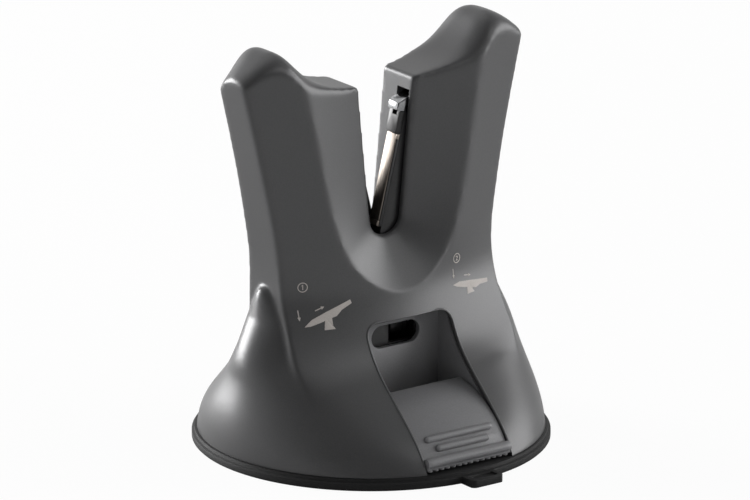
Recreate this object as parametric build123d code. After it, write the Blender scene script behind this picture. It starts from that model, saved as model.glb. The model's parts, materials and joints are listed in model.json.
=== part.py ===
from build123d import *
import os
from math import cos, dist, pi, radians, sin

# Pull through knife sharpener, in millimetres. +Z is up, the front faces -Y, and the origin is
# the middle of the base on the surface that it stands on.

# Body
foot_radius = 59.2
foot_level = 4.0
skirt_top = 47.5
total_height = 143.5
wall = 2.6
top_round = 2.2
inner_round = 0.8
overrun = 5.0

# Notch, and the funnel that leads into it from the front and the back
notch_floor = 73.0
notch_low_half = 6.6
notch_top_half = 13.6
notch_depth = 8.6
funnel_floor = 49.0
funnel_low_half = 38.0
funnel_top_half = 74.0
funnel_depth = 20.0
funnel_rise_share = 0.92

# Tower tops, from the notch outwards: places inside the foot's radius and below the crest
inner_top_reach = 12.3
inner_top_drop = 16.8
ramp_inset = 32.4
ramp_drop = 11.1
crest_start_inset = 19.8
crest_start_drop = 2.1
crest_inset = 15.7
crest_end_inset = 11.2
crest_end_drop = 1.3
outer_top_inset = 2.7
outer_top_drop = 8.0
outer_fall = 15.0

# Lever window
window_half = 17.8
window_top = 47.5
window_round = 5.0

# Blade line of the right arm
arm_lean = 14.4
strip_low_reach = -1.9
strip_low_level = 75.7
strip_top_drop = 36.7
strip_width = 5.0
strip_thickness = 1.6
strip_ear = 0.6
foot_clip_length = 2.0
foot_clip_proud = 0.3
holder_length = 9.4
holder_proud = 0.7
holder_groove = 1.6
cap_length = 4.4
cap_proud = 1.3
cap_reach = 5.0

# Arms
arm_thickness = 5.6
arm_gap = 0.7
arm_low_width = 10.5
arm_top_width = 7.0
pivot_reach = 6.0
pivot_level = 56.0
hub_radius = 5.4
bush_radius = 3.2
pin_radius = 2.0
tail_level = 39.0
tail_width = 5.0
barrel_radius = 2.9
barrel_length = 7.0
barrel_collar = 0.5
barrel_groove = 0.8
slot_clearance = 0.6
slot_top_drop = 21.9
slot_reach = 30.0
slot_inner_reach = 4.2

# Springs that close the arms
spring_radius = 2.2
spring_wire = 0.7
spring_turns = 6
spring_samples = 40

# Cradle of the arms
cradle_half_width = 15.5
cradle_half_depth = 9.9
cradle_wall = 2.6
cradle_low = 33.0
cradle_high = 62.0
cradle_tab_reach = 31.5
cradle_tab_half = 6.0
cradle_tab_thickness = 3.0
cradle_screw_reach = 27.0
post_thickness = 3.5
post_half_height = 4.0
pad_thickness = 2.0
pad_radius = 2.4
clip_radius = 3.6
clip_thickness = 0.8
clip_jaw = 2.4

# Screws
screw_radius = 1.45
screw_hole_radius = 1.5
screw_head_radius = 2.9
screw_head_height = 1.8
screw_bite = 10.0
boss_radius = 4.0
rib_thickness = 2.4
rib_low = 62.0
rib_height = 20.0
base_screw_inset = 10.3
base_screw_angle = 31.4

# Suction cup, base plate and stem
cup_proud = 1.8
cup_height = 3.9
cup_lip_width = 5.5
cup_step = 0.9
cup_step_level = 2.5
membrane_thickness = 1.7
membrane_rise = 2.2
cup_boss_radius = 18.0
cup_boss_height = 3.1
tab_half = 6.5
tab_length = 6.0
tab_height = 2.6
tab_pocket = 0.7
tab_rim = 1.6
tab_round = 1.8
base_level = 6.2
base_thickness = 2.2
base_inset = 4.1
base_flange = 2.5
base_cut_inset = 15.2
stem_radius = 4.0
stem_thread_radius = 3.0
stem_head_radius = 14.0
stem_head_height = 1.0
stem_head_level = 4.3
stem_lift = 3.0
guide_radius = 6.5
guide_height = 1.6
guide_flange = 1.0
cam_plate_thickness = 0.5

# Lever, its cam and the yoke that it lifts
lever_pivot_ahead = 21.0
lever_pivot_level = 17.0
lever_pin_radius = 2.0
lever_half = 17.2
lever_wall = 2.2
lever_swing = 65.0
lever_back_offset = 6.0
lever_back_rise = 7.3
lever_mid_inset = 16.2
lever_mid_level = 18.6
lever_under_share = 0.75
lever_front_inset = 5.3
lever_front_level = 7.3
lip_inset = 4.2
lip_level = 7.4
lip_radius = 1.7
lip_skirt = 2.2
bar_half_long = 12.6
bar_half_short = 9.8
bar_radius = 1.15
bar_first_inset = 9.9
bar_first_level = 13.6
bar_second_inset = 7.3
bar_second_level = 10.9
cam_inner = 9.6
cam_outer = 13.8
cam_hub_radius = 4.6
cam_margin = 15.0
cam_samples = 9
yoke_inner = 5.6
yoke_outer = 9.2
yoke_ear_radius = 4.4
yoke_level = 13.8
yoke_thickness = 2.2
yoke_back = 7.0
nut_radius = 5.5
nut_height = 3.0

# Well behind the window
well_wall = 2.0
panel_ahead = 14.0
panel_low = 16.6
panel_slot_low = 35.3
panel_slot_high = 43.3
panel_slot_half = 10.0
well_foot_width = 7.0
well_foot_inset = 23.5
well_foot_length = 9.0

# Clearances
running_gap = 0.05
seat_gap = 0.25
side_gap = 0.6

# Skirt sections from foot to skirt top: height share, then as shares of the foot's radius the
# side reach, front corner across and ahead, front reach, back corner across and ahead, back reach
skirt_shares = [
    (0.00, 1.000, 0.7071, 0.7071, 1.000, 0.7071, 0.7071, 1.000),
    (0.09, 0.981, 0.703, 0.684, 0.962, 0.703, 0.672, 0.957),
    (0.21, 0.952, 0.714, 0.635, 0.882, 0.712, 0.602, 0.880),
    (0.37, 0.911, 0.736, 0.549, 0.743, 0.727, 0.448, 0.737),
    (0.51, 0.878, 0.753, 0.463, 0.622, 0.736, 0.352, 0.632),
    (0.64, 0.854, 0.768, 0.386, 0.519, 0.743, 0.268, 0.520),
    (0.78, 0.832, 0.775, 0.313, 0.440, 0.751, 0.190, 0.426),
    (0.90, 0.807, 0.769, 0.264, 0.397, 0.752, 0.172, 0.370),
    (1.00, 0.785, 0.760, 0.230, 0.370, 0.751, 0.166, 0.343),
]

# Tower sections from skirt top to total height, laid out the same way with no side bulge
tower_shares = [
    (0.00, 0.760, 0.230, 0.370, 0.751, 0.166, 0.343),
    (0.08, 0.747, 0.177, 0.328, 0.746, 0.159, 0.324),
    (0.22, 0.750, 0.156, 0.321, 0.750, 0.156, 0.321),
    (0.36, 0.783, 0.153, 0.322, 0.783, 0.153, 0.322),
    (0.55, 0.845, 0.144, 0.319, 0.845, 0.144, 0.319),
    (0.76, 0.924, 0.138, 0.311, 0.924, 0.138, 0.311),
    (1.03, 1.035, 0.131, 0.300, 1.035, 0.131, 0.300),
]

# Lobes that rise from the skirt up the side faces: height share above the skirt top, then side
# reach and half width as shares of the foot's radius
lobe_shares = [(0.00, 0.783, 0.215), (0.07, 0.757, 0.150), (0.16, 0.735, 0.090)]
lobe_root_share = 0.66
lobe_shoulder_share = 0.55

# Values that follow from the ones above
inner_top_level = total_height - inner_top_drop
slot_top = total_height - slot_top_drop
strip_length = (total_height - strip_top_drop - strip_low_level) / cos(radians(arm_lean)) - foot_clip_length
cup_radius = foot_radius + cup_proud
tab_reach = cup_radius + tab_length
base_radius = foot_radius - wall - base_inset
base_screw_across = (base_radius - base_screw_inset) * cos(radians(base_screw_angle))
base_screw_ahead = (base_radius - base_screw_inset) * sin(radians(base_screw_angle))
base_cut_ahead = foot_radius - base_cut_inset
well_foot_start = base_radius - well_foot_inset
lever_back_ahead = lever_pivot_ahead + lever_back_offset
lever_back_level = lever_pivot_level + lever_back_rise
lever_mid_ahead = foot_radius - lever_mid_inset
lever_front_ahead = foot_radius - lever_front_inset
lip_ahead = foot_radius - lip_inset
arm_middle = arm_gap + arm_thickness / 2
base_top = base_level + base_thickness
cam_plate_top = base_top + cam_plate_thickness
cam_rate = stem_lift / radians(lever_swing)
cam_height = lever_pivot_level - cam_plate_top - running_gap
yoke_top = yoke_level + yoke_thickness
arm_length = foot_clip_length + seat_gap + strip_length + holder_length


def outline(*edges):
    """Face inside a closed run of edges."""
    return make_face(Curve() + list(edges))


def upright(ahead):
    """Drawing plane square to Y at a reach in front of the middle: X across, Z up."""
    return Plane(origin=(0, -ahead, 0), x_dir=(1, 0, 0), z_dir=(0, -1, 0))


def sideways(across):
    """Drawing plane square to X: the first axis runs to the front, the second up."""
    return Plane(origin=(across, 0, 0), x_dir=(0, -1, 0), z_dir=(-1, 0, 0))


def block(low, high):
    """Box between two corners."""
    size = [high[i] - low[i] for i in range(3)]
    middle = [(high[i] + low[i]) / 2 for i in range(3)]
    return Pos(*middle) * Box(*size)


def post(x, y, low, high, radius):
    """Upright cylinder between two levels."""
    return Pos(x, y, (low + high) / 2) * Cylinder(radius, high - low)


def rod(x, z, back, front, radius):
    """Cylinder along Y between two places, back and front counted to the front."""
    return Pos(x, -(back + front) / 2, z) * Rot(90, 0, 0) * Cylinder(radius, front - back)


def bar(y, z, low, high, radius):
    """Cylinder along X between two places."""
    return Pos((low + high) / 2, y, z) * Rot(0, 90, 0) * Cylinder(radius, high - low)


def half_turn(piece):
    """The same piece on the other arm, half a turn round the middle."""
    return Rot(0, 0, 180) * piece


def section(level, side, front_corner, front, back_corner, back, inset):
    """Closed section: arcs through front and back, and through the sides where they bulge."""
    right_front = (front_corner[0] - inset, inset - front_corner[1])
    left_front = (inset - front_corner[0], inset - front_corner[1])
    right_back = (back_corner[0] - inset, back_corner[1] - inset)
    left_back = (inset - back_corner[0], back_corner[1] - inset)
    front_arc = ThreePointArc(left_front, (0, inset - front), right_front)
    back_arc = ThreePointArc(right_back, (0, back - inset), left_back)
    if side is None:
        right_edge = Line(right_front, right_back)
        left_edge = Line(left_back, left_front)
    else:
        right_edge = ThreePointArc(right_front, (side - inset, 0), right_back)
        left_edge = ThreePointArc(left_back, (inset - side, 0), left_front)
    return Pos(0, 0, level) * outline(front_arc, right_edge, back_arc, left_edge)


def skirt(inset):
    """Flared lower body, drawn in by an inset."""
    sections = []
    for height, side, across_f, ahead_f, front, across_b, ahead_b, back in skirt_shares:
        level = foot_level + height * (skirt_top - foot_level)
        front_corner = (across_f * foot_radius, ahead_f * foot_radius)
        back_corner = (across_b * foot_radius, ahead_b * foot_radius)
        reaches = (front * foot_radius, back * foot_radius)
        sections.append(
            section(level, side * foot_radius, front_corner, reaches[0], back_corner, reaches[1], inset)
        )
    return loft(sections)


def towers(inset):
    """Upper body with flat sides, before the notch parts it."""
    sections = []
    for height, across_f, ahead_f, front, across_b, ahead_b, back in tower_shares:
        level = skirt_top + height * (total_height - skirt_top)
        front_corner = (across_f * foot_radius, ahead_f * foot_radius)
        back_corner = (across_b * foot_radius, ahead_b * foot_radius)
        reaches = (front * foot_radius, back * foot_radius)
        sections.append(section(level, None, front_corner, reaches[0], back_corner, reaches[1], inset))
    return loft(sections)


def lobes():
    """Rounded tops of the skirt that climb up both side faces."""
    sections = []
    root = lobe_root_share * foot_radius
    for height, reach_share, width_share in lobe_shares:
        level = skirt_top + height * (total_height - skirt_top)
        side = reach_share * foot_radius
        half = width_share * foot_radius
        shoulder = root + (side - root) * lobe_shoulder_share
        arc = ThreePointArc((shoulder, -half), (side, 0), (shoulder, half))
        rest = Polyline((shoulder, half), (root, half), (root, -half), (shoulder, -half))
        sections.append(Pos(0, 0, level) * outline(arc, rest))
    right = loft(sections)
    return right + mirror(right, Plane.YZ)


def valley_section(ahead, floor, low_half, top_half, rise):
    """U shape of the notch or of the funnel's mouth."""
    top = total_height + overrun
    start = floor + rise
    bowl = ThreePointArc((-low_half, start), (0, floor), (low_half, start))
    sides = Polyline((low_half, start), (top_half, top), (-top_half, top), (-low_half, start))
    return upright(ahead) * outline(bowl, sides)


def valley(depth):
    """Notch with its front and back funnels, all grown by a depth of wall."""
    near = notch_depth - depth
    floor = notch_floor - depth
    low_half = notch_low_half + depth
    narrow = valley_section(near, floor, low_half, notch_top_half + depth, notch_low_half + depth)
    mouth_rise = funnel_rise_share * funnel_low_half
    mouth_ahead = funnel_depth - depth
    wide = valley_section(mouth_ahead, funnel_floor, funnel_low_half, funnel_top_half, mouth_rise)
    funnel = loft([narrow, wide]) + extrude(wide, foot_radius)
    through = extrude(narrow, -2 * near)
    return funnel + through + mirror(funnel, Plane.XZ)


def above_towers(drop):
    """What lies above the tower tops: a concave ramp, a round crest and a fall to the outside."""
    top = total_height - drop
    inner = (inner_top_reach, top - inner_top_drop)
    middle = (0, top - inner_top_drop)
    ramp = (foot_radius - ramp_inset, top - ramp_drop)
    crest_start = (foot_radius - crest_start_inset, top - crest_start_drop)
    crest = (foot_radius - crest_inset, top)
    crest_end = (foot_radius - crest_end_inset, top - crest_end_drop)
    outer = (foot_radius - outer_top_inset, top - outer_top_drop)
    beyond = (outer[0] + outer_fall, outer[1] - outer_fall)
    ceiling = total_height + 2 * overrun
    profile = outline(
        Line(middle, inner),
        ThreePointArc(inner, ramp, crest_start),
        ThreePointArc(crest_start, crest, crest_end),
        Polyline(crest_end, outer, beyond, (beyond[0], ceiling), (0, ceiling), middle),
    )
    half = extrude(upright(-foot_radius) * profile, 2 * foot_radius)
    return half + mirror(half, Plane.YZ)


def shell_edges(body):
    """The long edges round the tower tops and the notch that are rounded over."""
    tops = []
    inner = []
    for edge in body.edges():
        box = edge.bounding_box()
        middle = edge.center()
        one_side = box.min.X * box.max.X > 0
        if box.min.Z > inner_top_level - 1.5 * wall and one_side and abs(middle.Y) > notch_depth - wall:
            tops.append(edge)
    for edge in body.edges():
        box = edge.bounding_box()
        on_face = abs(abs(edge.center().Y) - notch_depth) < inner_round / 4
        if on_face and box.min.Z > notch_floor - wall and edge.length > notch_depth:
            inner.append(edge)
    return tops, inner


def arm_slots():
    """Slots through the tower walls and the notch floor for both arms."""
    near = arm_gap - slot_clearance
    far = arm_gap + arm_thickness + slot_clearance
    right = block((-slot_inner_reach, -far, cradle_high), (slot_reach, -near, slot_top))
    return right + half_turn(right)


def window():
    """Opening for the lever, open down to the foot."""
    low = foot_level - overrun
    frame = Pos(0, (window_top + low) / 2) * Rectangle(2 * window_half, window_top - low)
    frame = fillet(frame.vertices().group_by(Axis.Y)[-1], window_round)
    return extrude(upright(panel_ahead + seat_gap) * frame, foot_radius)


def housing():
    """Grey moulded body: one shell with two towers, a flared skirt and bosses inside."""
    body = skirt(0) + towers(0) + lobes()
    body = body - valley(0)
    body = body - above_towers(0)
    tops, inner = shell_edges(body)
    body = fillet(tops, top_round)
    inner = shell_edges(body)[1]
    body = fillet(inner, inner_round)
    hollow = skirt(wall) + towers(wall)
    hollow = hollow - valley(wall)
    hollow = hollow - above_towers(wall)
    shell = body - hollow
    for side in (-1, 1):
        rib_low_corner = (side * cradle_screw_reach - rib_thickness / 2, -foot_radius, rib_low)
        rib_high_corner = (side * cradle_screw_reach + rib_thickness / 2, foot_radius, rib_low + rib_height)
        rib = block(rib_low_corner, rib_high_corner)
        boss = post(side * cradle_screw_reach, 0, rib_low, rib_low + rib_height, boss_radius)
        shell = shell + ((rib + boss) & hollow)
        for end in (-1, 1):
            place = (side * base_screw_across, end * base_screw_ahead)
            boss = post(*place, base_top, skirt_top, boss_radius)
            shell = shell + (boss & hollow)
    for side in (-1, 1):
        reach = side * cradle_screw_reach
        screw_top = rib_low + screw_bite + seat_gap
        shell = shell - post(reach, 0, rib_low - overrun, screw_top, screw_hole_radius)
        for end in (-1, 1):
            place = (side * base_screw_across, end * base_screw_ahead)
            shell = shell - post(*place, base_level, base_top + screw_bite + seat_gap, screw_hole_radius)
    return shell - arm_slots() - window()


def along_arm(along, out):
    """Point in the arm's plane from the blade line's foot: along the line, and out from it."""
    lean = radians(arm_lean)
    across = strip_low_reach + along * sin(lean) + out * cos(lean)
    level = strip_low_level + along * cos(lean) - out * sin(lean)
    return (across, level)


def arm_plate(points, near, far):
    """Plate with an outline in the arm's plane, between two distances in front of the middle."""
    face = upright(near) * make_face(Polyline(*points, points[0]))
    return extrude(face, far - near)


def arm_carrier():
    """Plate of the right arm: a leaning blade seat, a hub and a tail with a barrel."""
    near = arm_gap
    far = arm_gap + arm_thickness
    seat = strip_thickness
    blade = [
        along_arm(-foot_clip_length, seat),
        along_arm(arm_length, seat),
        along_arm(arm_length, arm_top_width),
        along_arm(0, arm_low_width),
        (pivot_reach + hub_radius, pivot_level),
        (pivot_reach - hub_radius, pivot_level),
    ]
    plate = arm_plate(blade, near, far)
    tail_low = (pivot_reach - tail_width / 2, -far, tail_level)
    tail_high = (pivot_reach + tail_width / 2, -near, pivot_level)
    plate = plate + block(tail_low, tail_high) + rod(pivot_reach, pivot_level, near, far, hub_radius)
    start = pivot_reach - tail_width / 2
    end = start + barrel_length
    barrel = bar(-arm_middle, tail_level, start, end, barrel_radius - barrel_collar)
    barrel = barrel + bar(-arm_middle, tail_level, start, end - 3 * barrel_groove, barrel_radius)
    collar_start = end - 2 * barrel_groove
    barrel = barrel + bar(-arm_middle, tail_level, collar_start, end - barrel_groove, barrel_radius)
    plate = plate + barrel
    return plate - rod(pivot_reach, pivot_level, near - overrun, far + overrun, bush_radius)


def sharpening_strip():
    """Bright strip along the blade line, with a small ear at its upper end."""
    near = arm_middle - strip_width / 2
    far = arm_middle + strip_width / 2
    start = foot_clip_length + seat_gap
    end = start + strip_length
    points = [along_arm(start, 0), along_arm(end, 0), along_arm(end, strip_thickness)]
    points.append(along_arm(start, strip_thickness))
    strip = arm_plate(points, near, far)
    ear_start = end - strip_thickness
    ear = [along_arm(ear_start, 0), along_arm(end, 0), along_arm(end, strip_thickness)]
    ear.append(along_arm(ear_start, strip_thickness))
    return strip + arm_plate(ear, far, far + strip_ear)


def foot_clip():
    """Small metal clip at the strip's lower end."""
    near = arm_middle - strip_width / 2
    far = arm_middle + strip_width / 2
    points = [
        along_arm(0, strip_thickness),
        along_arm(0, 0),
        along_arm(foot_clip_proud, -foot_clip_proud),
        along_arm(foot_clip_length, -foot_clip_proud),
        along_arm(foot_clip_length, strip_thickness),
    ]
    return arm_plate(points, near, far)


def strip_holder():
    """Block over the strip's upper end, with a groove across it."""
    near = arm_gap
    far = arm_gap + arm_thickness
    start = foot_clip_length + strip_length + 2 * seat_gap
    end = start + holder_length - holder_groove
    neck = strip_thickness / 2
    points = [
        along_arm(start, strip_thickness),
        along_arm(start, -holder_proud),
        along_arm(end, -holder_proud),
        along_arm(end, neck),
        along_arm(arm_length, neck),
        along_arm(arm_length, strip_thickness),
    ]
    return arm_plate(points, near, far)


def guide_cap():
    """Bright cap over the arm's end, with bevelled faces."""
    near = arm_gap
    far = arm_gap + arm_thickness
    start = arm_length + seat_gap
    end = start + cap_length
    bevel = cap_proud
    points = [
        along_arm(start, cap_reach),
        along_arm(start, -cap_proud),
        along_arm(start + bevel, -cap_proud - bevel / 2),
        along_arm(end - bevel, -cap_proud - bevel / 2),
        along_arm(end, 0),
        along_arm(end + bevel, cap_reach),
    ]
    tongue = [
        along_arm(start, strip_thickness),
        along_arm(start - seat_gap, strip_thickness),
        along_arm(start - seat_gap, cap_reach),
        along_arm(start, cap_reach),
    ]
    cap = arm_plate(points, near, far)
    return cap + arm_plate(tongue, near, far)


def hub_bush():
    """Bush in the arm's hub."""
    near = arm_gap
    far = arm_gap + arm_thickness
    sleeve = rod(pivot_reach, pivot_level, near, far, bush_radius)
    return sleeve - rod(pivot_reach, pivot_level, near - overrun, far + overrun, pin_radius + running_gap)


def pin_spacer():
    """Sleeve that fills the empty half of a pivot pin."""
    near = arm_gap
    far = cradle_half_depth - cradle_wall - seat_gap
    sleeve = rod(pivot_reach, pivot_level, -far, -near, bush_radius)
    return sleeve - rod(pivot_reach, pivot_level, -far - overrun, overrun, pin_radius)


def pivot_pin():
    """Pin through both cheeks of the cradle, turned down at the clips' grooves."""
    end = cradle_half_depth + seat_gap + clip_thickness + seat_gap
    pin = rod(pivot_reach, pivot_level, -end, end, pin_radius)
    for side in (-1, 1):
        start = cradle_half_depth + seat_gap / 2
        stop = start + clip_thickness + seat_gap / 2
        groove_back = min(side * start, side * stop)
        groove_front = max(side * start, side * stop)
        ring = rod(pivot_reach, pivot_level, groove_back, groove_front, pin_radius + seat_gap)
        ring = ring - rod(pivot_reach, pivot_level, groove_back, groove_front, pin_radius - seat_gap)
        pin = pin - ring
    return pin


def pin_clip(side):
    """Open spring clip in one groove of the right pivot pin."""
    start = cradle_half_depth + seat_gap / 2 + seat_gap / 4
    back = min(side * start, side * (start + clip_thickness))
    front = max(side * start, side * (start + clip_thickness))
    disc = rod(pivot_reach, pivot_level, back, front, clip_radius)
    disc = disc - rod(pivot_reach, pivot_level, back - overrun, front + overrun, pin_radius - seat_gap)
    jaw_low = (pivot_reach - clip_jaw / 2, -front - overrun, pivot_level - clip_radius - overrun)
    jaw_high = (pivot_reach + clip_jaw / 2, overrun - back, pivot_level)
    return disc - block(jaw_low, jaw_high)


def arm_spring():
    """Compression spring between the cradle's post and the right arm's tail."""
    start = -(cradle_half_width - cradle_wall - post_thickness) + spring_wire / 2
    end = pivot_reach - tail_width / 2 - spring_wire / 2
    length = end - start
    pitch = length / spring_turns
    helix = Helix(pitch, length, spring_radius)
    wire = sweep(Plane(helix @ 0, z_dir=helix % 0) * Circle(spring_wire / 2), helix)
    turn_points = [helix @ (i / (spring_turns * spring_samples)) for i in range(2 * spring_samples)]
    first = turn_points[0]
    gap = min(dist(tuple(first), tuple(point)) for point in turn_points[spring_samples // 2:]) - spring_wire
    print("least gap between the spring's turns", round(gap, 2))
    return Pos(start, -arm_middle, tail_level) * Rot(0, 90, 0) * wire


def stop_pad():
    """Rubber pad that the right arm's barrel leans on at rest."""
    inner = cradle_half_width - cradle_wall
    return bar(-arm_middle, tail_level, inner - pad_thickness, inner, pad_radius)


def arm_cradle():
    """Open frame that carries both pivot pins, with posts for the springs and two screw tabs."""
    half_width = cradle_half_width
    half_depth = cradle_half_depth
    inner_width = half_width - cradle_wall
    inner_depth = half_depth - cradle_wall
    frame = block((-half_width, -half_depth, cradle_low), (half_width, half_depth, cradle_high))
    low = cradle_low - overrun
    inside_top = cradle_high + overrun
    frame = frame - block((-inner_width, -inner_depth, low), (inner_width, inner_depth, inside_top))
    level = cradle_high - cradle_tab_thickness
    for side in (-1, 1):
        near = side * half_width
        far = side * cradle_tab_reach
        tab = block(
            (min(near, far), -cradle_tab_half, level), (max(near, far), cradle_tab_half, cradle_high)
        )
        frame = frame + tab
        reach = side * cradle_screw_reach
        frame = frame - post(reach, 0, level - overrun, cradle_high + overrun, screw_hole_radius)
    spring_post = block(
        (-inner_width, -inner_depth, tail_level - post_half_height),
        (post_thickness - inner_width, -arm_gap, tail_level + post_half_height),
    )
    sight = block(
        (0, -half_depth - overrun, tail_level - post_half_height),
        (inner_width - pad_thickness, -inner_depth + overrun / 5, tail_level + post_half_height),
    )
    right = rod(pivot_reach, pivot_level, -half_depth - overrun, half_depth + overrun, pin_radius)
    frame = frame + spring_post + half_turn(spring_post)
    return frame - sight - half_turn(sight) - right - half_turn(right)


def screw(x, y, head_low, tip):
    """Pan head screw that points up or down from its head."""
    if tip > head_low:
        head_high = head_low + screw_head_height
        shank = post(x, y, head_high, tip, screw_radius)
    else:
        head_high = head_low + screw_head_height
        shank = post(x, y, tip, head_low, screw_radius)
    return post(x, y, head_low, head_high, screw_head_radius) + shank


def well():
    """Dark inner frame: two cheeks beside the lever and a back panel with a slot."""
    outer = window_half + well_wall
    low = base_top + seat_gap
    cheeks = block((-outer, -foot_radius, low), (outer, -panel_ahead + well_wall, window_top + overrun))
    cheeks = cheeks - block(
        (-window_half, -foot_radius - overrun, low - overrun),
        (window_half, -panel_ahead, window_top - well_wall / 2),
    )
    gap = block((-window_half, -foot_radius, low - overrun), (window_half, 0, panel_low))
    inside = (skirt(wall + seat_gap) + towers(wall + seat_gap)) - valley(wall + seat_gap)
    slot_height = panel_slot_high - panel_slot_low
    slot_middle = (panel_slot_high + panel_slot_low) / 2
    slot = Pos(0, slot_middle) * SlotOverall(2 * panel_slot_half, slot_height)
    slot = extrude(upright(0) * slot, foot_radius)
    frame = (cheeks & inside) - gap - slot
    far = well_foot_start + well_foot_length
    for side in (-1, 1):
        reach = side * (outer + well_foot_width)
        near = side * outer
        foot = block(
            (min(near, reach), -far, low),
            (max(near, reach), -well_foot_start, low + well_wall),
        )
        frame = frame + foot
    return frame - well_screw_holes()


def well_screw_places():
    """Middles of the two screws that hold the well down."""
    across = window_half + well_wall + well_foot_width / 2
    ahead = well_foot_start + well_foot_length / 2
    return [(-across, -ahead), (across, -ahead)]


def well_screw_holes():
    """Holes for the well's screws through its feet and the base plate."""
    places = well_screw_places()
    holes = [post(x, y, base_level - overrun, base_top + overrun, screw_hole_radius) for x, y in places]
    return holes[0] + holes[1]


def cup_profile():
    """Half section of the rubber cup: rim with a step, thin domed membrane, thick middle."""
    lip = cup_radius - cup_lip_width
    inner = lip - cup_lip_width / 2
    pocket_low = stem_head_level - seat_gap
    pocket_high = stem_head_level + stem_head_height + seat_gap
    boss_low = cup_boss_height - seat_gap
    boss_top = base_level - seat_gap
    head = stem_head_radius + seat_gap
    hole = stem_radius + seat_gap
    points = [
        (0, boss_low),
        (cup_boss_radius, boss_low - membrane_thickness / 2),
        (inner, membrane_rise / 2),
        (lip, 0),
        (cup_radius - cup_step / 2, 0),
        (cup_radius, cup_step / 2),
        (cup_radius, cup_step_level),
        (cup_radius - cup_step, cup_step_level + cup_step / 3),
        (cup_radius - cup_step, cup_height),
        (inner, cup_height),
        (inner - cup_lip_width, membrane_rise / 2 + membrane_thickness),
        (cup_boss_radius, boss_low + membrane_thickness / 2),
        (cup_boss_radius - membrane_thickness, boss_top),
        (hole, boss_top),
        (hole, pocket_high),
        (head, pocket_high),
        (head, pocket_low),
        (0, pocket_low),
        (0, boss_low),
    ]
    return make_face(Plane.XZ * Polyline(*points))


def suction_cup():
    """Rubber cup with a stepped rim, a domed membrane and a pull tab in front."""
    cup = revolve(cup_profile(), Axis.Z)
    root = cup_radius - cup_lip_width
    half = tab_half
    tab = block((-half, -tab_reach, 0), (half, -root, tab_height))
    tab = fillet(tab.edges().filter_by(Axis.Z).group_by(Axis.Y)[0], tab_round)
    pocket = block(
        (tab_rim - half, tab_rim - tab_reach, tab_height - tab_pocket),
        (half - tab_rim, -cup_radius - tab_rim / 2, tab_height + overrun),
    )
    return cup + (tab - pocket)


def base_plate():
    """Rigid floor: a disc with a rim flange, cut back in front to clear the lever's lip."""
    plate = post(0, 0, base_level, base_top, base_radius)
    flange = post(0, 0, cup_height + seat_gap, base_level, base_radius)
    plate = plate + (flange - post(0, 0, 0, base_level, base_radius - base_flange))
    cut_half = window_half + side_gap
    cut = block((-cut_half, -cup_radius, 0), (cut_half, -base_cut_ahead, base_top))
    plate = plate - cut - post(0, 0, 0, base_top + overrun, guide_radius)
    for x in (-base_screw_across, base_screw_across):
        for y in (-base_screw_ahead, base_screw_ahead):
            plate = plate - post(x, y, 0, base_top + overrun, screw_hole_radius)
    return plate - well_screw_holes()


def stem_bush():
    """Flanged guide bush of the stem in the base plate."""
    bush = post(0, 0, base_level, base_top + guide_height, guide_radius)
    bush = bush + post(0, 0, base_top, base_top + guide_flange, guide_radius + guide_flange)
    return bush - post(0, 0, 0, base_top + 2 * overrun, stem_radius + running_gap)


def cam_plate():
    """Steel pad on the base plate under the lever's two cams."""
    low = lever_pivot_ahead - cam_hub_radius - cam_rate
    high = lever_pivot_ahead + cam_hub_radius + 2 * cam_rate
    across = cam_outer + side_gap
    pad = block((-across, -high, base_top), (across, -low, cam_plate_top))
    return fillet(pad.edges().filter_by(Axis.Z), side_gap)


def pull_stem():
    """Stem with a broad head moulded into the cup, a shoulder and a threaded end."""
    head = post(0, 0, stem_head_level, stem_head_level + stem_head_height, stem_head_radius)
    shank = post(0, 0, stem_head_level, yoke_level, stem_radius)
    end = yoke_top + nut_height + stem_lift / 3
    thread = post(0, 0, yoke_level, end, stem_thread_radius)
    return head + shank + thread


def lift_yoke():
    """Flat yoke on the stem with two ears that carry the lever's pin."""
    across = yoke_outer
    plate = block((-across, -lever_pivot_ahead, yoke_level), (across, yoke_back, yoke_top))
    plate = fillet(plate.edges().filter_by(Axis.Z).group_by(Axis.Y)[-1], yoke_back / 2)
    plate = plate - post(0, 0, 0, yoke_top + overrun, stem_thread_radius)
    gap = block((-yoke_inner, -foot_radius, 0), (yoke_inner, -panel_ahead, skirt_top))
    ears = bar(-lever_pivot_ahead, lever_pivot_level, -across, across, yoke_ear_radius)
    ears = ears + block(
        (-across, -lever_pivot_ahead - yoke_ear_radius, yoke_level),
        (across, yoke_ear_radius - lever_pivot_ahead, lever_pivot_level),
    )
    body = plate + ears
    hole = bar(-lever_pivot_ahead, lever_pivot_level, -across - overrun, across + overrun, lever_pin_radius)
    return body - gap - hole


def stem_nut():
    """Hexagon nut that clamps the yoke on the stem."""
    nut = extrude(Pos(0, 0, yoke_top) * RegularPolygon(nut_radius, 6), nut_height)
    return nut - post(0, 0, 0, yoke_top + nut_height + overrun, stem_thread_radius)


def lever_pin():
    """Pin of the lever, held in the yoke's ears."""
    end = cam_outer + 2 * seat_gap + clip_thickness
    return bar(-lever_pivot_ahead, lever_pivot_level, -end, end, lever_pin_radius)


def lever_washers():
    """Push-on washers at both ends of the lever's pin."""
    washers = []
    for side in (-1, 1):
        near = side * (cam_outer + seat_gap)
        far = side * (cam_outer + seat_gap + clip_thickness)
        low = min(near, far)
        high = max(near, far)
        disc = bar(-lever_pivot_ahead, lever_pivot_level, low, high, clip_radius)
        disc = disc - bar(
            -lever_pivot_ahead, lever_pivot_level, low - overrun, high + overrun, lever_pin_radius
        )
        washers.append(disc)
    return Compound(children=washers)


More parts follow.
